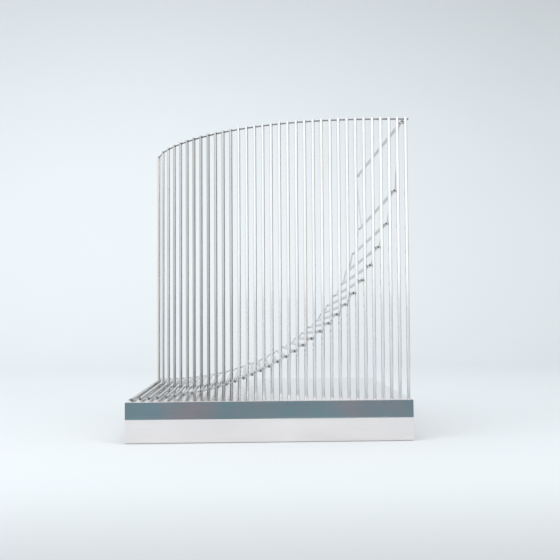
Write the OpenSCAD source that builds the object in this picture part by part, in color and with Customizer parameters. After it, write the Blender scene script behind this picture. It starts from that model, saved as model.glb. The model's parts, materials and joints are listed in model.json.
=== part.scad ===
// Magnetic desk sculpture: two interleaved curtains of thin tubes on a polished block.
// Millimetres. Origin: centre of the underside of the base. +X right, +Y back, +Z up.

/* [Base] */
// Width of the square base block
base_width = 266.7; // [200:0.1:320]
// Depth of the square base block
base_depth = 266.7; // [200:0.1:320]
// Height of the base block
base_height = 38.1; // [25:0.1:60]
// Chamfer around the top edge
edge_chamfer = 0.5; // [0.4:0.1:3]
// Chamfer around the bottom edge
foot_chamfer = 0.6; // [0.2:0.1:2]
// How deep the uprights sit in the base
socket_depth = 13.5; // [6:0.1:20]
// Thickness of the magnet under each upright
magnet_thickness = 3; // [1:0.1:6]

/* [Tubes] */
// Outside diameter of every tube
tube_diameter = 3.175; // [2.5:0.005:3.6]
// Inside diameter of every tube
tube_bore = 1.75; // [1.6:0.05:2.8]
// Spacing from one upright to the next
pitch = 7.9375; // [6.5:0.0005:7.94]
// Length of an upright
upright_length = 279.4; // [200:0.1:320]
// Length of an arm
arm_length = 241.3; // [200:0.1:250]
// Diameter of the cross holes for the cords
cord_hole = 2; // [1.4:0.05:2.2]

/* [Upright curve] */
// Distance of the first upright from the left edge
first_upright = 9.27; // [8:0.01:12]
// Distance of the last upright from the front edge
nearest_upright = 4.3; // [3:0.1:8]
// How far the curve of uprights reaches back
curve_depth = 187.7; // [150:0.1:200]
// Roundness of the curve next to the front edge
curve_power = 2.51; // [2:0.01:3]
// Roundness of the curve next to the left edge
curve_root = 0.732; // [0.5:0.001:1]
// Distance from the tip of an upright down to the top cord
top_cord_drop = 1.75; // [1.7:0.05:8]

/* [Arm curve] */
// How far the arms lie to the right of the middle of their gaps
arm_offset = 0.45; // [0:0.05:0.5]
// Distance of the arm tips from the front edge
arm_setback = 3; // [1:0.1:6]
// Height of the lowest point of the curve over the base
arm_low = 1.85; // [1.5:0.05:4]
// Extra height of the first arms, which fades out to the right
arm_lift = 0.6; // [0:0.1:2]
// Height gained over the whole curve
arm_span = 359.9; // [300:0.1:370]
// Roundness of the curve next to the base
rise_power = 1.97; // [1.8:0.01:2.4]
// Roundness of the curve next to the top
rise_root = 0.2946; // [0.25:0.0001:0.4]
// How far the last arm hangs down at its back end
droop = 10.5; // [0:0.1:12]
// How quickly the hang grows from left to right
droop_power = 1.15; // [1:0.01:2]
// How far the last arm swings to the left at its back end
last_arm_skew = 10.6; // [0:0.1:12]

/* [Cords] */
// Diameter of the three cords
cord_diameter = 1.4; // [0.6:0.05:1.45]
// Distance of the cross holes from the arm tips, in the low arms
near_hole = 1.9; // [1.8:0.1:2.6]
// Distance of the cross holes from the arm tips, in the high arms
far_hole = 5.8; // [5.4:0.1:7]
// The arm inside which the front cord changes over between the two
change_arm = 26; // [26:1:26]
// Distance of the cross holes from the back ends of the arms
back_hole = 2.5; // [2:0.1:5]
// Diameter of the knots at the cord ends
knot_diameter = 1.7; // [1.65:0.05:1.9]

/* [Hidden] */
last = 32;
tube_r = tube_diameter / 2;
bore_r = tube_bore / 2;
cord_r = cord_diameter / 2;
knot_r = knot_diameter / 2;
left_edge = -base_width / 2;
front_edge = -base_depth / 2;
upright_foot = base_height - socket_depth;
upright_tip = upright_foot + upright_length;
top_cord_z = upright_tip - top_cord_drop;
// the cord clears the side of a tube by this much before it turns down
turn_out = tube_r + cord_r + 0.32;
// a knot at the end of a cord sits this much closer in
knot_in = cord_r;
// inside the arm where the front cord changes over, its bends keep this close to the middle
change_side = bore_r - cord_r - 0.025;

// ---- where each tube stands ----

function share(i) = i / last;
function upright_x(i) = left_edge + first_upright + pitch * i;
function upright_y(i) = front_edge + nearest_upright
  + curve_depth * (1 - pow(1 - pow(1 - share(i), curve_power), curve_root));
function arm_x(i) = upright_x(i) - pitch / 2 + arm_offset;
function arm_curve(i) = arm_low + arm_lift * exp(-i / 4)
  + arm_span * (1 - pow(1 - pow(share(i) / 1.0067, rise_power), rise_root));
function arm_z(i) = base_height + (i == 0 ? tube_r + 0.05 : arm_curve(i));
function arm_drop(i) = droop * pow(share(i), droop_power);
function arm_pitch(i) = asin(arm_drop(i) / arm_length);
function arm_skew(i) = i == last ? asin(last_arm_skew / arm_length) : 0;

// the cross hole at the front of an arm, measured from its tip
function right_hole(i) = i >= change_arm ? far_hole : near_hole;
function left_hole(i) = i > change_arm ? far_hole : near_hole;
function pivot_y(i) = front_edge + arm_setback + right_hole(i);

// a point on an arm's axis, at a distance behind its pivot
function on_arm(i, s) = [
  arm_x(i) - s * sin(arm_skew(i)) * cos(arm_pitch(i)),
  pivot_y(i) + s * cos(arm_skew(i)) * cos(arm_pitch(i)),
  arm_z(i) - s * sin(arm_pitch(i))
];
function rear_reach(i) = arm_length - back_hole - right_hole(i);

// ---- tubes ----

module tube(length) {
  difference() {
    cylinder(r = tube_r, h = length, $fn = 96);
    translate([0, 0, -1])
      cylinder(r = bore_r, h = length + 2, $fn = 96);
  }
}

module cross_hole() {
  rotate([0, 90, 0])
    cylinder(d = cord_hole, h = tube_diameter + 2, center = true, $fn = 48);
}

module half_cross_hole(side) {
  rotate([0, 90 * side, 0])
    cylinder(d = cord_hole, h = tube_r + 1, $fn = 48);
}

// direction of the top cord in plan as it goes through an upright
function cord_heading(i) =
  let (a = max(i - 1, 0), b = min(i + 1, last))
  atan2(upright_y(b) - upright_y(a), upright_x(b) - upright_x(a));

module upright(i) {
  translate([upright_x(i), upright_y(i), upright_foot])
    rotate([0, 0, cord_heading(i)])
      difference() {
        tube(upright_length);
        translate([0, 0, upright_length - top_cord_drop])
          cross_hole();
      }
}

module uprights(first) {
  color([0.86, 0.87, 0.88])
    for (i = [first : first + 2]) {
      upright(i);
    }
}

// an arm lies along +Y from its tip, and turns about the hole at its front
module arm(i) {
  color([0.88, 0.89, 0.9])
    translate([arm_x(i), pivot_y(i), arm_z(i)])
      rotate([0, 0, arm_skew(i)])
        rotate([-arm_pitch(i), 0, 0])
          difference() {
            translate([0, -right_hole(i), 0])
              rotate([-90, 0, 0])
                tube(arm_length);
            if (right_hole(i) == left_hole(i)) {
              cross_hole();
            } else {
              half_cross_hole(1);
              translate([0, left_hole(i) - right_hole(i), 0])
                half_cross_hole(-1);
            }
            translate([0, rear_reach(i), 0])
              cross_hole();
          }
}

// ---- base ----

module chamfered_block() {
  difference() {
    translate([left_edge, front_edge, 0])
      cube([base_width, base_depth, base_height]);
    for (turn = [0 : 90 : 270]) {
      rotate([0, 0, turn]) {
        translate([0, base_depth / 2, base_height])
          rotate([45, 0, 0])
            cube([base_width + 4, edge_chamfer * sqrt(2), edge_chamfer * sqrt(2)], center = true);
        translate([0, base_depth / 2, 0])
          rotate([45, 0, 0])
            cube([base_width + 4, foot_chamfer * sqrt(2), foot_chamfer * sqrt(2)], center = true);
      }
    }
  }
}

module base_block() {
  color([0.8, 0.82, 0.84])
    difference() {
      chamfered_block();
      for (i = [0 : last]) {
        translate([upright_x(i), upright_y(i), upright_foot - magnet_thickness])
          cylinder(r = tube_r + 0.03, h = socket_depth + magnet_thickness + 1, $fn = 64);
      }
    }
}

module socket_magnets() {
  color([0.55, 0.56, 0.58])
    for (i = [0 : last]) {
      translate([upright_x(i), upright_y(i), upright_foot - magnet_thickness])
        cylinder(r = tube_r, h = magnet_thickness, $fn = 64);
    }
}

// ---- cords ----

// a cord is one sweep of rings; each stop is [point, radius]
sides = 8;

function unit(v) = v / norm(v);
function heading(stops, k) =
  let (a = max(k - 1, 0), b = min(k + 1, len(stops) - 1))
  k == 0 || k == len(stops) - 1
    ? unit(stops[b][0] - stops[a][0])
    : unit(unit(stops[k][0] - stops[a][0]) + unit(stops[b][0] - stops[k][0]));
function ring(stops, k, side) =
  let (
    t = heading(stops, k),
    e = unit(side - t * (side * t)),
    g = cross(t, e)
  )
  [for (m = [0 : sides - 1])
    stops[k][0] + stops[k][1] * (cos(360 * m / sides) * e + sin(360 * m / sides) * g)];

module cord(stops, side) {
  count = len(stops);
  points = [for (k = [0 : count - 1]) each ring(stops, k, side)];
  walls = [
    for (k = [0 : count - 2])
      for (m = [0 : sides - 1])
        let (n = (m + 1) % sides)
          each [
            [k * sides + m, k * sides + n, (k + 1) * sides + m],
            [k * sides + n, (k + 1) * sides + n, (k + 1) * sides + m]
          ]
  ];
  start = [for (m = [2 : sides - 1]) [0, m, m - 1]];
  end = [for (m = [2 : sides - 1])
    [(count - 1) * sides, (count - 1) * sides + m - 1, (count - 1) * sides + m]];
  color([0.72, 0.74, 0.77])
    polyhedron(points = points, faces = concat(walls, start, end), convexity = 4);
}

// a knot swells the last stretch of a cord, beginning at p and going along way
function knot(p, way) = [
  [p, cord_r],
  [p + way * 0.25 * knot_r, 0.8 * knot_r],
  [p + way * knot_r, knot_r],
  [p + way * 1.75 * knot_r, 0.7 * knot_r],
  [p + way * 2 * knot_r, 0.2 * knot_r]
];
function turned(list) = [for (k = [len(list) - 1 : -1 : 0]) list[k]];

function top_point(i) = [upright_x(i), upright_y(i), top_cord_z];
function top_way(a, b) = unit(top_point(b) - top_point(a));

module top_cord() {
  first_way = [cos(cord_heading(0)), sin(cord_heading(0)), 0];
  last_way = [cos(cord_heading(last)), sin(cord_heading(last)), 0];
  cord(
    concat(
      turned(knot(top_point(0) - first_way * (tube_r + 0.05), -first_way)),
      [for (i = [0 : last]) [top_point(i), cord_r]],
      knot(top_point(last) + last_way * (tube_r + 0.05), last_way)
    ),
    [0, 0, 1]
  );
}

function front_right(i) = [arm_x(i) + turn_out, pivot_y(i), arm_z(i)];
function front_left(i) = [
  arm_x(i) - turn_out, front_edge + arm_setback + left_hole(i), arm_z(i)
];

module front_cord() {
  cord(
    concat(
      turned(knot(front_left(0) + [knot_in, 0, 0], [-1, 0, 0])),
      [[front_right(0), cord_r]],
      [for (i = [1 : last - 1]) each (
        i == change_arm
          ? [
              [front_left(i), cord_r],
              [[arm_x(i) - change_side, front_left(i)[1], arm_z(i)], cord_r],
              [[arm_x(i) + change_side, front_right(i)[1], arm_z(i)], cord_r],
              [front_right(i), cord_r]
            ]
          : [[front_left(i), cord_r], [front_right(i), cord_r]]
      )],
      [[front_left(last), cord_r]],
      knot(front_right(last) - [knot_in, 0, 0], [1, 0, 0])
    ),
    [0, 1, 0]
  );
}

function rear_side(i, way) = on_arm(i, rear_reach(i))
  + way * turn_out * [cos(arm_skew(i)), sin(arm_skew(i)), 0];

module rear_cord() {
  last_way = [cos(arm_skew(last)), sin(arm_skew(last)), 0];
  cord(
    concat(
      turned(knot(rear_side(0, -1) + [knot_in, 0, 0], [-1, 0, 0])),
      [[rear_side(0, 1), cord_r]],
      [for (i = [1 : last - 1]) each [[rear_side(i, -1), cord_r], [rear_side(i, 1), cord_r]]],
      [[rear_side(last, -1), cord_r]],
      knot(rear_side(last, 1) - knot_in * last_way, last_way)
    ),
    [0, 1, 0]
  );
}

// ---- what is drawn ----

base_block();
socket_magnets();
uprights(0);  // uprights_00_02
uprights(3);  // uprights_03_05
uprights(6);  // uprights_06_08
uprights(9);  // uprights_09_11
uprights(12);  // uprights_12_14
uprights(15);  // uprights_15_17
uprights(18);  // uprights_18_20
uprights(21);  // uprights_21_23
uprights(24);  // uprights_24_26
uprights(27);  // uprights_27_29
uprights(30);  // uprights_30_32
arm(0);  // arm_00
arm(1);  // arm_01
arm(2);  // arm_02
arm(3);  // arm_03
arm(4);  // arm_04
arm(5);  // arm_05
arm(6);  // arm_06
arm(7);  // arm_07
arm(8);  // arm_08
arm(9);  // arm_09
arm(10);  // arm_10
arm(11);  // arm_11
arm(12);  // arm_12
arm(13);  // arm_13
arm(14);  // arm_14
arm(15);  // arm_15
arm(16);  // arm_16
arm(17);  // arm_17
arm(18);  // arm_18
arm(19);  // arm_19
arm(20);  // arm_20
arm(21);  // arm_21
arm(22);  // arm_22
arm(23);  // arm_23
arm(24);  // arm_24
arm(25);  // arm_25
arm(26);  // arm_26
arm(27);  // arm_27
arm(28);  // arm_28
arm(29);  // arm_29
arm(30);  // arm_30
arm(31);  // arm_31
arm(32);  // arm_32
top_cord();
front_cord();
rear_cord();
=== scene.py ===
import json
import math

import bpy
from mathutils import Matrix, Vector


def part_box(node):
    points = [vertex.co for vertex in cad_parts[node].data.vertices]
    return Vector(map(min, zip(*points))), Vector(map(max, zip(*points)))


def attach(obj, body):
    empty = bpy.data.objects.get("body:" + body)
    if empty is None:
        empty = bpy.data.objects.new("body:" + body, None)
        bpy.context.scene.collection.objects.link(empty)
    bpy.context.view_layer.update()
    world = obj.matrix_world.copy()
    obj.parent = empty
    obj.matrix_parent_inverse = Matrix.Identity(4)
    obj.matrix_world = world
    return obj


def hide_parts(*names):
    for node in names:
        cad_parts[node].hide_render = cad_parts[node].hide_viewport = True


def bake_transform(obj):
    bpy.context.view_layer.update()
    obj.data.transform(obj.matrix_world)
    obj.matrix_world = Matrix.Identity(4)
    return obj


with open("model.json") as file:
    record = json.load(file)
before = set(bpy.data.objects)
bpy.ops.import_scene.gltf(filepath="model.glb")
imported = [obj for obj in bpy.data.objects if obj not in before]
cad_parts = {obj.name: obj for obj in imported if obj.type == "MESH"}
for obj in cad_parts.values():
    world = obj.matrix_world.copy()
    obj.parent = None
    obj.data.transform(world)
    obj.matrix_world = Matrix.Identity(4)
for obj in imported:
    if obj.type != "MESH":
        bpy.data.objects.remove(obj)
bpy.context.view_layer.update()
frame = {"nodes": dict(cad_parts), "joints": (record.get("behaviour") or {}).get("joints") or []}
scene = bpy.context.scene

# ---------------------------------------------------------------- sizes, as in the CAD source, in metres
MM = 0.001
LAST = 32
TUBE_R = 1.5875 * MM
PITCH = 7.9375 * MM

# where the uprights stand, from the front left corner of the block
FIRST_UPRIGHT = 9.27 * MM
NEAREST_UPRIGHT = 4.3 * MM
CURVE_DEPTH = 187.7 * MM
CURVE_POWER = 2.51
CURVE_ROOT = 0.732
UPRIGHT_TIP = 304.0 * MM
TOP_CORD_DROP = 1.75 * MM

# where the arms lie, and how they climb
ARM_LENGTH = 241.3 * MM
ARM_OFFSET = 0.45 * MM
ARM_SETBACK = 3 * MM
ARM_GAP = 0.05 * MM
ARM_LOW = 1.85 * MM
ARM_LIFT = 0.6 * MM
ARM_SPAN = 359.9 * MM
RISE_SHARE = 1.0067
RISE_POWER = 1.97
RISE_ROOT = 0.2946
DROOP = 10.5 * MM
DROOP_POWER = 1.15
LAST_SKEW = math.asin(10.6 * MM / ARM_LENGTH)

# the cross holes, from the ends of an arm
NEAR_HOLE = 1.9 * MM
FAR_HOLE = 5.8 * MM
BACK_HOLE = 2.5 * MM
CHANGE_ARM = 26

base_low, base_high = (Vector(v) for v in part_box("base_block"))
LEFT, FRONT, TOP = base_low.x, base_low.y, base_high.z


def share(i):
    return i / LAST


def upright_x(i):
    return LEFT + FIRST_UPRIGHT + PITCH * i


def upright_y(i):
    bow = 1 - (1 - (1 - share(i)) ** CURVE_POWER) ** CURVE_ROOT
    return FRONT + NEAREST_UPRIGHT + CURVE_DEPTH * bow


def arm_x(i):
    return upright_x(i) - PITCH / 2 + ARM_OFFSET


def arm_z(i):
    if i == 0:
        return TOP + TUBE_R + ARM_GAP
    rise = 1 - (1 - (share(i) / RISE_SHARE) ** RISE_POWER) ** RISE_ROOT
    return TOP + ARM_LOW + ARM_LIFT * math.exp(-i / 4) + ARM_SPAN * rise


def arm_pitch(i):
    return math.asin(DROOP * share(i) ** DROOP_POWER / ARM_LENGTH)


def arm_skew(i):
    return LAST_SKEW if i == LAST else 0.0


def right_hole(i):
    return FAR_HOLE if i >= CHANGE_ARM else NEAR_HOLE


def left_hole(i):
    return FAR_HOLE if i > CHANGE_ARM else NEAR_HOLE


def front_hole_y(hole):
    return FRONT + ARM_SETBACK + hole


def on_arm(i, s):
    """A point on an arm's axis, at a distance behind its hinge."""
    skew = arm_skew(i)
    drop = arm_pitch(i)
    return Vector((
        arm_x(i) - s * math.sin(skew) * math.cos(drop),
        front_hole_y(right_hole(i)) + s * math.cos(skew) * math.cos(drop),
        arm_z(i) - s * math.sin(drop),
    ))


def rear_hole(i):
    return on_arm(i, ARM_LENGTH - BACK_HOLE - right_hole(i))


def body_of_arm(i):
    return "stand" if i == 0 else "arm_%02d_body" % i


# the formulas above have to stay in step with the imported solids
HINGE_SLIP = 0.05 * MM
for joint in frame["joints"]:
    number = int(joint["name"][4:6])
    if (Vector(joint["pos_m"]) - on_arm(number, 0)).length > HINGE_SLIP:
        raise SystemExit("arm %02d isn't where the frame has it" % number)


# ---------------------------------------------------------------- camera
CAMERA_PLACE = Vector((-17.296, -876.305, 116.924)) * MM
CAMERA_PAN = -0.036575
CAMERA_TILT = 0.043998
CAMERA_ROLL = 0.006227
SENSOR_WIDTH = 36
FOCAL_LENGTH = 51.428571

cam_data = bpy.data.cameras.new("camera")
cam_data.sensor_width = SENSOR_WIDTH
cam_data.lens = FOCAL_LENGTH
cam_data.clip_start = 0.01
cam_data.clip_end = 20
camera = bpy.data.objects.new("camera", cam_data)
scene.collection.objects.link(camera)
turn = (
    Matrix.Rotation(CAMERA_PAN, 3, "Z")
    @ Matrix.Rotation(CAMERA_TILT, 3, "X")
    @ Matrix.Rotation(CAMERA_ROLL, 3, "Y")
)
right, forward, up = turn.col
look = Matrix((right, up, -forward)).transposed().to_4x4()
look.translation = CAMERA_PLACE
camera.matrix_world = look
scene.camera = camera


# ---------------------------------------------------------------- material helpers
def new_material(name):
    mat = bpy.data.materials.new(name)
    mat.use_nodes = True
    tree = mat.node_tree
    tree.nodes.clear()
    out = tree.nodes.new("ShaderNodeOutputMaterial")
    shader = tree.nodes.new("ShaderNodeBsdfPrincipled")
    tree.links.new(shader.outputs["BSDF"], out.inputs["Surface"])
    return mat, tree, shader


def object_coords(tree, scale):
    coord = tree.nodes.new("ShaderNodeTexCoord")
    mapping = tree.nodes.new("ShaderNodeMapping")
    mapping.inputs["Scale"].default_value = scale
    tree.links.new(coord.outputs["Object"], mapping.inputs["Vector"])
    return mapping.outputs["Vector"]


def noise(tree, scale, detail=4.0, roughness=0.55):
    """Noise fixed to the object, finer along each axis the larger its scale."""
    node = tree.nodes.new("ShaderNodeTexNoise")
    node.inputs["Scale"].default_value = 1.0
    node.inputs["Detail"].default_value = detail
    node.inputs["Roughness"].default_value = roughness
    tree.links.new(object_coords(tree, scale), node.inputs["Vector"])
    return node.outputs["Fac"]


def spread(tree, value, low, high, out_low, out_high):
    """The value's range low to high, stretched to another range and cut off at its ends."""
    node = tree.nodes.new("ShaderNodeMapRange")
    node.inputs["From Min"].default_value = low
    node.inputs["From Max"].default_value = high
    node.inputs["To Min"].default_value = out_low
    node.inputs["To Max"].default_value = out_high
    tree.links.new(value, node.inputs["Value"])
    return node.outputs["Result"]


def axes_of(tree, vector):
    node = tree.nodes.new("ShaderNodeSeparateXYZ")
    tree.links.new(vector, node.inputs[0])
    return node.outputs


def mix_colour(tree, value, a, b):
    node = tree.nodes.new("ShaderNodeMix")
    node.data_type = "RGBA"
    node.inputs[6].default_value = (*a, 1)
    node.inputs[7].default_value = (*b, 1)
    tree.links.new(value, node.inputs[0])
    return node.outputs[2]


def add_values(tree, a, b, kind="ADD"):
    node = tree.nodes.new("ShaderNodeMath")
    node.operation = kind
    tree.links.new(a, node.inputs[0])
    tree.links.new(b, node.inputs[1])
    return node.outputs[0]


def bump(tree, shader, height, strength, distance):
    node = tree.nodes.new("ShaderNodeBump")
    node.inputs["Strength"].default_value = strength
    node.inputs["Distance"].default_value = distance
    tree.links.new(height, node.inputs["Height"])
    tree.links.new(node.outputs["Normal"], shader.inputs["Normal"])


def drawn_tube(name, along, light, dark):
    """Satin drawn steel: fine lines along the tube, slow changes of tone, specks of dust."""
    mat, tree, shader = new_material(name)
    across = [2600.0, 2600.0, 2600.0]
    across[along] = 14.0
    lines = noise(tree, across, detail=4.0, roughness=0.6)
    marks = noise(tree, (150, 150, 150), detail=3.0)
    slow = noise(tree, (31, 9, 9), detail=2.0)
    specks = noise(tree, (700, 700, 700), detail=1.0)
    shader.inputs["Metallic"].default_value = 1.0
    tone = spread(tree, lines, 0.3, 0.7, 0.0, 0.4)
    tone = add_values(tree, tone, spread(tree, slow, 0.35, 0.65, 0.0, 0.6))
    tone = add_values(tree, tone, spread(tree, specks, 0.77, 0.8, 0.0, 1.0), "SUBTRACT")
    tree.links.new(mix_colour(tree, tone, (dark,) * 3, (light,) * 3), shader.inputs["Base Color"])
    rough = spread(tree, lines, 0.3, 0.7, 0.15, 0.22)
    rough = add_values(tree, rough, spread(tree, marks, 0.5, 0.75, 0.0, 0.08))
    tree.links.new(rough, shader.inputs["Roughness"])
    bump(tree, shader, lines, 0.06, 0.00003)
    return mat


TOP_HAZE = 0.18


def mirror_block(name):
    """Mirror polish with faint haze, wipe marks and hairlines; the top face is hazier from handling."""
    mat, tree, shader = new_material(name)
    haze = noise(tree, (14, 14, 22), detail=4.0)
    wipes = noise(tree, (9, 60, 500), detail=5.0, roughness=0.65)
    hairs = noise(tree, (60, 900, 1400), detail=2.0)
    cross = noise(tree, (1100, 50, 700), detail=2.0)
    shader.inputs["Metallic"].default_value = 1.0
    tone = spread(tree, haze, 0.3, 0.7, 0.0, 0.6)
    tone = add_values(tree, tone, spread(tree, wipes, 0.3, 0.7, 0.0, 0.4))
    colour = mix_colour(tree, tone, (0.80, 0.755, 0.75), (0.90, 0.85, 0.84))
    tree.links.new(colour, shader.inputs["Base Color"])
    facing = axes_of(tree, tree.nodes.new("ShaderNodeNewGeometry").outputs["Normal"])
    rough = spread(tree, haze, 0.35, 0.7, 0.012, 0.04)
    rough = add_values(tree, rough, spread(tree, wipes, 0.55, 0.8, 0.0, 0.04))
    rough = add_values(tree, rough, spread(tree, hairs, 0.73, 0.79, 0.0, 0.15))
    rough = add_values(tree, rough, spread(tree, facing["Z"], 0.5, 0.9, 0.0, TOP_HAZE))
    tree.links.new(rough, shader.inputs["Roughness"])
    height = spread(tree, hairs, 0.72, 0.78, 0.0, 1.0)
    height = add_values(tree, height, spread(tree, cross, 0.74, 0.79, 0.0, 1.0))
    bump(tree, shader, height, 0.10, 0.00004)
    return mat


def nylon_line(name, core, painted_rim_shade):
    """Clear drawn line: a milky core between dark rims, finely scuffed; the rims are painted shade, darker
    towards the glancing edges.
    """
    mat, tree, shader = new_material(name)
    scuffs = noise(tree, (2600, 2600, 2600), detail=5.0, roughness=0.7)
    cloud = noise(tree, (240, 240, 240), detail=3.0)
    layer = tree.nodes.new("ShaderNodeLayerWeight")
    layer.inputs["Blend"].default_value = 0.5
    milk = mix_colour(tree, cloud, tuple(c * 0.9 for c in core), core)
    # painted shade: the colour turns to the rim colour towards the glancing edges of the line
    rim_shade_mix = tree.nodes.new("ShaderNodeMix")
    rim_shade_mix.data_type = "RGBA"
    rim_shade_mix.inputs[7].default_value = (*painted_rim_shade, 1)
    tree.links.new(spread(tree, layer.outputs["Facing"], 0.18, 0.40, 0.0, 1.0), rim_shade_mix.inputs[0])
    tree.links.new(milk, rim_shade_mix.inputs[6])
    tree.links.new(rim_shade_mix.outputs[2], shader.inputs["Base Color"])
    tree.links.new(spread(tree, scuffs, 0.3, 0.7, 0.10, 0.28), shader.inputs["Roughness"])
    shader.inputs["Transmission Weight"].default_value = 0.75
    shader.inputs["IOR"].default_value = 1.53
    bump(tree, shader, scuffs, 0.25, 0.00004)
    return mat


def plated_magnet(name):
    """Fine-grained nickel plate."""
    mat, tree, shader = new_material(name)
    grain = noise(tree, (900, 900, 900), detail=4.0)
    shader.inputs["Metallic"].default_value = 1.0
    colour = mix_colour(tree, grain, (0.42, 0.42, 0.43), (0.62, 0.62, 0.63))
    tree.links.new(colour, shader.inputs["Base Color"])
    tree.links.new(spread(tree, grain, 0.3, 0.7, 0.22, 0.42), shader.inputs["Roughness"])
    bump(tree, shader, grain, 0.15, 0.00005)
    return mat


def paint(node_name, mat):
    obj = frame["nodes"][node_name]
    if not obj.material_slots:
        obj.data.materials.append(mat)
    for slot in obj.material_slots:
        slot.material = mat


ALONG_Y, ALONG_Z = 1, 2
upright_metal = drawn_tube("upright_tube_metal", ALONG_Z, 0.87, 0.79)
# painted shade: the next three are darker copies of the upright steel, for the shaded uprights at the left
light_painted_shade_metal = drawn_tube("tube_metal_painted_shade_light", ALONG_Z, 0.72, 0.63)
mid_painted_shade_metal = drawn_tube("tube_metal_painted_shade_mid", ALONG_Z, 0.63, 0.54)
deep_painted_shade_metal = drawn_tube("tube_metal_painted_shade_deep", ALONG_Z, 0.53, 0.45)
# painted shade: the arms are the same drawn steel as the uprights, drawn darker for the shade they lie in
# among the uprights
arm_metal_painted_shade = drawn_tube("arm_tube_metal_painted_shade", ALONG_Y, 0.60, 0.50)

# painted shade: the uprights at the left get darker copies of the same drawn steel, for the shade that falls
# on them
PAINTED_SHADE_UPRIGHTS = {
    "uprights_00_02": light_painted_shade_metal,
    "uprights_03_05": mid_painted_shade_metal,
    "uprights_06_08": deep_painted_shade_metal,
    "uprights_09_11": mid_painted_shade_metal,
}

block_metal = mirror_block("polished_block_metal")
magnet_metal = plated_magnet("magnet_metal")
cord_line = nylon_line("cord_line", (0.97, 0.98, 0.99), (0.04, 0.042, 0.045))
# painted shade: the top cord is the same clear line as the others, with its core drawn dark grey for a line
# seen with the light behind it
top_line_painted_shade = nylon_line("top_cord_line_painted_shade", (0.34, 0.35, 0.37), (0.08, 0.085, 0.09))
# painted light: the highest link of the rear cord gets lighter painted rims, because it hardly shows in
# front of a pale wall
faint_line_painted_light = nylon_line("cord_line_painted_light_rims", (0.97, 0.98, 0.99), (0.62, 0.65, 0.67))

for node_name in frame["nodes"]:
    if node_name.startswith("uprights_"):
        paint(node_name, PAINTED_SHADE_UPRIGHTS.get(node_name, upright_metal))
    elif node_name.startswith("arm_"):
        paint(node_name, arm_metal_painted_shade)
    elif node_name == "base_block":
        paint(node_name, block_metal)
    elif node_name == "socket_magnets":
        paint(node_name, magnet_metal)
    else:
        paint(node_name, cord_line)


# ---------------------------------------------------------------- meshes
def add_mesh(name, verts, faces, mat, smooth=True):
    mesh = bpy.data.meshes.new(name)
    mesh.from_pydata([tuple(v) for v in verts], [], faces)
    if smooth:
        mesh.shade_smooth()
    mesh.materials.append(mat)
    obj = bpy.data.objects.new(name, mesh)
    scene.collection.objects.link(obj)
    return obj


def ring(centre, way, side, radius, count):
    """Points round a centre, square to way, starting towards side."""
    e = (side - way * side.dot(way)).normalized()
    g = way.cross(e)
    points = []
    for m in range(count):
        w = 2 * math.pi * m / count
        points.append(centre + (e * math.cos(w) + g * math.sin(w)) * radius)
    return points


def band(here, there, count):
    """The faces between two rings, each given by the number of its first point."""
    faces = []
    for m in range(count):
        n = (m + 1) % count
        faces.append((here + m, here + n, there + n, there + m))
    return faces


# ---------------------------------------------------------------- cords
CORD_R = 0.7 * MM
CORD_SIDES = 12
CORD_STEP = 0.5 * MM
CORNER = 0.75 * MM
CORNER_STEPS = 5

KNOT_LOOP = 0.36 * MM
KNOT_WEAVE = 0.17 * MM
KNOT_LIFT = 0.40 * MM
KNOT_STRAND = 0.30 * MM
KNOT_STEPS = 72
KNOT_SIDES = 8

# a cord clears the side of a tube by this much before it turns down
TURN_OUT = TUBE_R + 0.45 * MM
# inside the arm where the front cord changes over, its bends keep this close to the middle
CHANGE_SIDE = 0.05 * MM
# the top cord ends this far past a tube's side, and its knots lie further out
TOP_END = 0.3 * MM
TOP_KNOT_OUT = 0.45 * MM
# at their ends the front and rear cords stop this much short, and the knots fill the gap
KNOT_GAP = 0.4 * MM
# neighbouring stretches of the rear cord lap by this much
LAP = 0.15 * MM

X, Y, Z = Vector((1, 0, 0)), Vector((0, 1, 0)), Vector((0, 0, 1))


def rounded(points):
    """The route with its corners eased."""
    line = [points[0]]
    for a, b, c in zip(points, points[1:], points[2:]):
        near = min(CORNER, (b - a).length * 0.45)
        far = min(CORNER, (c - b).length * 0.45)
        p = b + (a - b).normalized() * near
        q = b + (c - b).normalized() * far
        for k in range(CORNER_STEPS + 1):
            t = k / CORNER_STEPS
            line.append(p * (1 - t) ** 2 + b * 2 * t * (1 - t) + q * t ** 2)
    line.append(points[-1])
    return line


def resampled(line, step):
    """The same line as points about a step apart."""
    lengths = [0.0]
    for a, b in zip(line, line[1:]):
        lengths.append(lengths[-1] + (b - a).length)
    count = max(2, round(lengths[-1] / step))
    out = []
    k = 0
    for n in range(count + 1):
        s = lengths[-1] * n / count
        while k < len(line) - 2 and lengths[k + 1] < s:
            k += 1
        span = lengths[k + 1] - lengths[k]
        t = 0 if span == 0 else (s - lengths[k]) / span
        out.append(line[k].lerp(line[k + 1], t))
    return out


def cord_mesh(name, points, side, mat):
    """A round line along the points, with the faint unevenness of drawn nylon."""
    line = resampled(rounded(points), CORD_STEP)
    verts = []
    for n, p in enumerate(line):
        before = line[max(n - 1, 0)]
        after = line[min(n + 1, len(line) - 1)]
        r = CORD_R * (1 + 0.02 * math.sin(n * 0.9) + 0.015 * math.sin(n * 2.3))
        verts += ring(p, (after - before).normalized(), side, r, CORD_SIDES)
    faces = []
    for n in range(len(line) - 1):
        faces += band(n * CORD_SIDES, (n + 1) * CORD_SIDES, CORD_SIDES)
    final = (len(line) - 1) * CORD_SIDES
    faces.append(tuple(reversed(range(CORD_SIDES))))
    faces.append(tuple(final + m for m in range(CORD_SIDES)))
    return add_mesh(name, verts, faces, mat)


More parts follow.
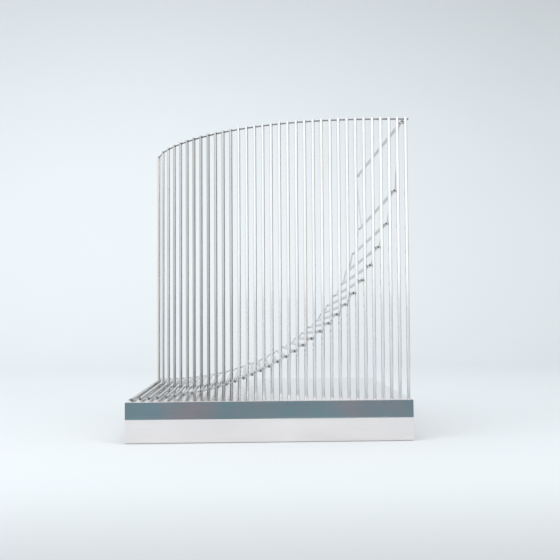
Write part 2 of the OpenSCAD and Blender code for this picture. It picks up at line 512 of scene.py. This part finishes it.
def knot_mesh(name, centre, way, mat):
    """A small overhand knot: one strand that goes twice round way and weaves three times."""
    way = way.normalized()
    e = way.orthogonal().normalized()
    g = way.cross(e)
    loop = []
    for n in range(KNOT_STEPS):
        a = 2 * math.pi * n / KNOT_STEPS
        r = KNOT_LOOP + KNOT_WEAVE * math.cos(3 * a)
        lift = KNOT_LIFT * math.sin(3 * a)
        loop.append(centre + e * r * math.cos(2 * a) + g * r * math.sin(2 * a) + way * lift)
    verts, faces = [], []
    for n, p in enumerate(loop):
        after = (n + 1) % KNOT_STEPS
        verts += ring(p, (loop[after] - loop[n - 1]).normalized(), way, KNOT_STRAND, KNOT_SIDES)
        faces += band(n * KNOT_SIDES, after * KNOT_SIDES, KNOT_SIDES)
    return add_mesh(name, verts, faces, mat)


def place(obj, body, *nodes):
    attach(obj, body)
    if nodes:
        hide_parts(*nodes)


def add_knot(name, end, way, out, body, mat):
    """A knot whose middle lies a little way out from the end of a cord."""
    place(knot_mesh(name, end + way * out, way, mat), body)


# ---------------------------------------------------------------- top cord
def top_point(i):
    return Vector((upright_x(i), upright_y(i), UPRIGHT_TIP - TOP_CORD_DROP))


def top_way(a, b):
    return (top_point(b) - top_point(a)).normalized()


left_way = top_way(1, 0)
right_way = top_way(LAST - 1, LAST)
left_end = top_point(0) + left_way * (TUBE_R + TOP_END)
right_end = top_point(LAST) + right_way * (TUBE_R + TOP_END)
route = [left_end] + [top_point(i) for i in range(LAST + 1)] + [right_end]
place(cord_mesh("top_cord_line_painted_shade", route, Z, top_line_painted_shade), "stand", "top_cord")
add_knot("top_cord_knot_left", left_end, left_way, TOP_KNOT_OUT, "stand", top_line_painted_shade)
add_knot("top_cord_knot_right", right_end, right_way, TOP_KNOT_OUT, "stand", top_line_painted_shade)


# ---------------------------------------------------------------- front cord
def front_right(i):
    return Vector((arm_x(i) + TURN_OUT, front_hole_y(right_hole(i)), arm_z(i)))


def front_left(i):
    return Vector((arm_x(i) - TURN_OUT, front_hole_y(left_hole(i)), arm_z(i)))


route = [front_left(0) + X * KNOT_GAP, front_right(0)]
for i in range(1, LAST):
    route.append(front_left(i))
    if i == CHANGE_ARM:
        route.append(Vector((arm_x(i) - CHANGE_SIDE, front_left(i).y, arm_z(i))))
        route.append(Vector((arm_x(i) + CHANGE_SIDE, front_right(i).y, arm_z(i))))
    route.append(front_right(i))
route += [front_left(LAST), front_right(LAST) - X * KNOT_GAP]
place(cord_mesh("front_cord_line", route, Y, cord_line), "stand", "front_cord")
add_knot("front_cord_knot_left", route[0], -X, KNOT_GAP, "stand", cord_line)
add_knot("front_cord_knot_right", route[-1], X, KNOT_GAP, "stand", cord_line)


# ---------------------------------------------------------------- rear cord
def rear_side(i, way):
    """Beside an arm's rear hole, on its left for way -1 and on its right for way 1."""
    across = Vector((math.cos(arm_skew(i)), math.sin(arm_skew(i)), 0))
    return rear_hole(i) + across * (way * TURN_OUT)


def half_link(near, far):
    """The middle of the link between two arms, and a lap beyond."""
    return (near + far) / 2 + (far - near).normalized() * LAP


def rear_stretch(i):
    """The route through an arm's rear hole, from halfway down one link to halfway up the next."""
    stretch = [rear_side(i, -1), rear_side(i, 1)]
    if i > 0:
        stretch.insert(0, half_link(stretch[0], rear_side(i - 1, 1)))
    if i < LAST:
        stretch.append(half_link(stretch[-1], rear_side(i + 1, -1)))
    if i == 0:
        stretch[0] += X * KNOT_GAP
    if i == LAST:
        stretch[-1] -= X * KNOT_GAP
    return stretch


# each stretch goes with its arm, but the stretches of the last two arms, with the longest
# link between them, stay where they are
for i in range(LAST + 1):
    stretch = rear_stretch(i)
    mat = cord_line if i < LAST - 1 else faint_line_painted_light
    piece = cord_mesh("rear_cord_line_%02d" % i, stretch, Y, mat)
    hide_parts("rear_cord")
    if i == LAST:
        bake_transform(piece)
    elif i == LAST - 1:
        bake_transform(piece)
    else:
        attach(piece, body_of_arm(i))
    if i == 0:
        add_knot("rear_cord_knot_left", stretch[0], -X, KNOT_GAP, "stand", cord_line)
    if i == LAST:
        add_knot("rear_cord_knot_right", stretch[-1], X, KNOT_GAP, body_of_arm(i), cord_line)


# ---------------------------------------------------------------- studio paper
# painted light and shade on the paper along the floor, up the wall and from left to right, as (place, tone)
PAINTED_LIGHT_FLOOR = [
    (-4.0, 0.95), (-0.9, 0.84), (-0.55, 0.58), (-0.45, 0.72),
    (-0.32, 0.90), (-0.1, 0.88), (0.5, 0.90), (2.0, 1.0),
]
PAINTED_LIGHT_WALL = [(-0.1, 0.96), (0.35, 1.0), (0.85, 0.965), (1.3, 0.76), (2.6, 0.72)]
PAINTED_LIGHT_ACROSS = [(-3.0, 1.0), (-0.5, 1.0), (0.9, 0.875), (3.0, 0.82)]

PAPER_FRONT = -4.0
PAPER_SIDE = 3.0
PAPER_TOP = 2.6
BEND_FROM = 0.9
BEND_R = 0.9
BEND_STEPS = 16
FLOOR_DROP = 0.0002


def curve_of(tree, value, stops):
    """A smooth tone through the stops, each a place along an axis and the tone there."""
    low, high = stops[0][0], stops[-1][0]
    ramp = tree.nodes.new("ShaderNodeValToRGB")
    ramp.color_ramp.interpolation = "B_SPLINE"
    elements = ramp.color_ramp.elements
    while len(elements) > 1:
        elements.remove(elements[-1])
    for n, (where, tone) in enumerate(stops):
        spot = (where - low) / (high - low)
        element = elements[0] if n == 0 else elements.new(spot)
        element.position = spot
        element.color = (tone, tone, tone, 1)
    tree.links.new(spread(tree, value, low, high, 0.0, 1.0), ramp.inputs["Fac"])
    return ramp.outputs["Color"]


def matt(shader):
    shader.inputs["Roughness"].default_value = 0.9
    shader.inputs["Specular IOR Level"].default_value = 0.1


def paper_with_painted_light(name, colour):
    """White seamless paper with painted light and shade: its tone changes along the floor, up the wall and
    across, for how the light falls on it.
    """
    mat, tree, shader = new_material(name)
    axes = axes_of(tree, tree.nodes.new("ShaderNodeTexCoord").outputs["Object"])
    # painted light and shade: the tone rises and falls along the floor, up the wall and to the right
    near = curve_of(tree, axes["Y"], PAINTED_LIGHT_FLOOR)
    high = curve_of(tree, axes["Z"], PAINTED_LIGHT_WALL)
    across = curve_of(tree, axes["X"], PAINTED_LIGHT_ACROSS)
    tone = add_values(tree, near, high, "MULTIPLY")
    tone = add_values(tree, tone, across, "MULTIPLY")
    grain = noise(tree, (3, 3, 3), detail=2.0)
    tone = add_values(tree, tone, spread(tree, grain, 0.3, 0.7, 0.99, 1.0), "MULTIPLY")
    tree.links.new(mix_colour(tree, tone, (0, 0, 0), colour), shader.inputs["Base Color"])
    matt(shader)
    return mat


def sweep(name, mat):
    """Floor that curves up into the backdrop."""
    profile = [(PAPER_FRONT, 0.0), (BEND_FROM, 0.0)]
    for k in range(1, BEND_STEPS + 1):
        a = math.pi / 2 * k / BEND_STEPS
        profile.append((BEND_FROM + BEND_R * math.sin(a), BEND_R - BEND_R * math.cos(a)))
    profile.append((BEND_FROM + BEND_R, PAPER_TOP))
    verts = []
    for x in (-PAPER_SIDE, PAPER_SIDE):
        for y, z in profile:
            verts.append((x, y, z - FLOOR_DROP))
    n = len(profile)
    faces = [(k, k + n, k + n + 1, k + 1) for k in range(n - 1)]
    add_mesh(name, verts, faces, mat)


sweep("paper_sweep", paper_with_painted_light("pale_paper_painted_light", (0.84, 0.872, 0.89)))


# ---------------------------------------------------------------- cards, only for the metal to reflect
def flag_cloth(name, colour, other):
    """Matt cloth that drifts between two colours."""
    mat, tree, shader = new_material(name)
    drift = spread(tree, noise(tree, (14, 14, 14), detail=2.0), 0.35, 0.65, 0.0, 1.0)
    tree.links.new(mix_colour(tree, drift, other, colour), shader.inputs["Base Color"])
    matt(shader)
    return mat


def glowing(name, colour, strength):
    mat = bpy.data.materials.new(name)
    mat.use_nodes = True
    tree = mat.node_tree
    tree.nodes.clear()
    out = tree.nodes.new("ShaderNodeOutputMaterial")
    glow = tree.nodes.new("ShaderNodeEmission")
    glow.inputs["Color"].default_value = (*colour, 1)
    glow.inputs["Strength"].default_value = strength
    tree.links.new(glow.outputs[0], out.inputs["Surface"])
    return mat


def add_card(name, verts, faces, mat):
    obj = add_mesh(name, verts, faces, mat, smooth=False)
    obj.visible_camera = False
    obj.visible_shadow = False
    obj.visible_diffuse = False


def card(name, foot_a, foot_b, low, high, mat):
    """An upright card between two floor points."""
    corners = [(*foot_a, low), (*foot_b, low), (*foot_b, high), (*foot_a, high)]
    add_card(name, corners, [(0, 1, 2, 3)], mat)


def arc_card(name, centre, radius, start, stop, low, high, mat):
    """A curved card round a point, from one bearing to another, counted from the front to the right."""
    steps = 24
    verts = []
    for k in range(steps + 1):
        a = math.radians(start + (stop - start) * k / steps)
        x = centre[0] + radius * math.sin(a)
        y = centre[1] - radius * math.cos(a)
        verts += [(x, y, low), (x, y, high)]
    faces = [(2 * k, 2 * k + 2, 2 * k + 3, 2 * k + 1) for k in range(steps)]
    add_card(name, verts, faces, mat)


# the dark cloth lies low in front of the block, so that only the top of the block's front face shows it
FLAG_AWAY = 169 * MM
FLAG_HIGH = 0.0205
FLAG_TURN = 0.004
FLAG_SIDE = 0.7
flag_y = FRONT - FLAG_AWAY
card(
    "front_flag", (-FLAG_SIDE, flag_y - FLAG_TURN), (FLAG_SIDE, flag_y + FLAG_TURN), -0.0001, FLAG_HIGH,
    flag_cloth("flag_blue", (0.195, 0.335, 0.38), (0.31, 0.315, 0.35)),
)
card(
    "left_card", (-0.235, -0.28), (-0.34, 0.12), 0.0, 0.55,
    glowing("left_card", (1.0, 0.97, 0.94), 0.86),
)
card(
    "right_card", (0.20, -0.11), (0.30, 0.15), 0.06, 0.55,
    glowing("right_card", (1.0, 0.96, 0.92), 0.04),
)
arc_card(
    "front_box", (0.12, -0.13), 0.33, -80, 66, 0.14, 0.85,
    glowing("front_box", (0.98, 1.0, 1.0), 1.15),
)


# ---------------------------------------------------------------- lights
def area(name, place_at, look_at, size, power, colour):
    data = bpy.data.lights.new(name, "AREA")
    data.shape = "RECTANGLE"
    data.size, data.size_y = size
    data.energy = power
    data.color = colour
    obj = bpy.data.objects.new(name, data)
    obj.location = place_at
    way = Vector(look_at) - Vector(place_at)
    obj.rotation_euler = way.to_track_quat("-Z", "Y").to_euler()
    scene.collection.objects.link(obj)
    return obj


key = area("key", (0.0, -0.3, 1.9), (0.0, 0.0, 0.1), (2.4, 2.0), 20, (0.98, 0.99, 1.0))
key.visible_glossy = False
area("fill_left", (-1.6, -1.2, 0.9), (0.0, 0.0, 0.15), (1.2, 1.4), 12, (0.97, 0.99, 1.0))
area("fill_right", (1.6, -1.2, 0.9), (0.0, 0.0, 0.15), (1.2, 1.4), 9, (0.97, 0.99, 1.0))

world = bpy.data.worlds.new("studio")
world.use_nodes = True
background = world.node_tree.nodes["Background"]
background.inputs["Color"].default_value = (0.85, 0.88, 0.90, 1)
background.inputs["Strength"].default_value = 0.9
scene.world = world

scene.view_settings.view_transform = "Standard"
scene.view_settings.look = "None"
scene.view_settings.exposure = 0.0
scene.view_settings.gamma = 1.0
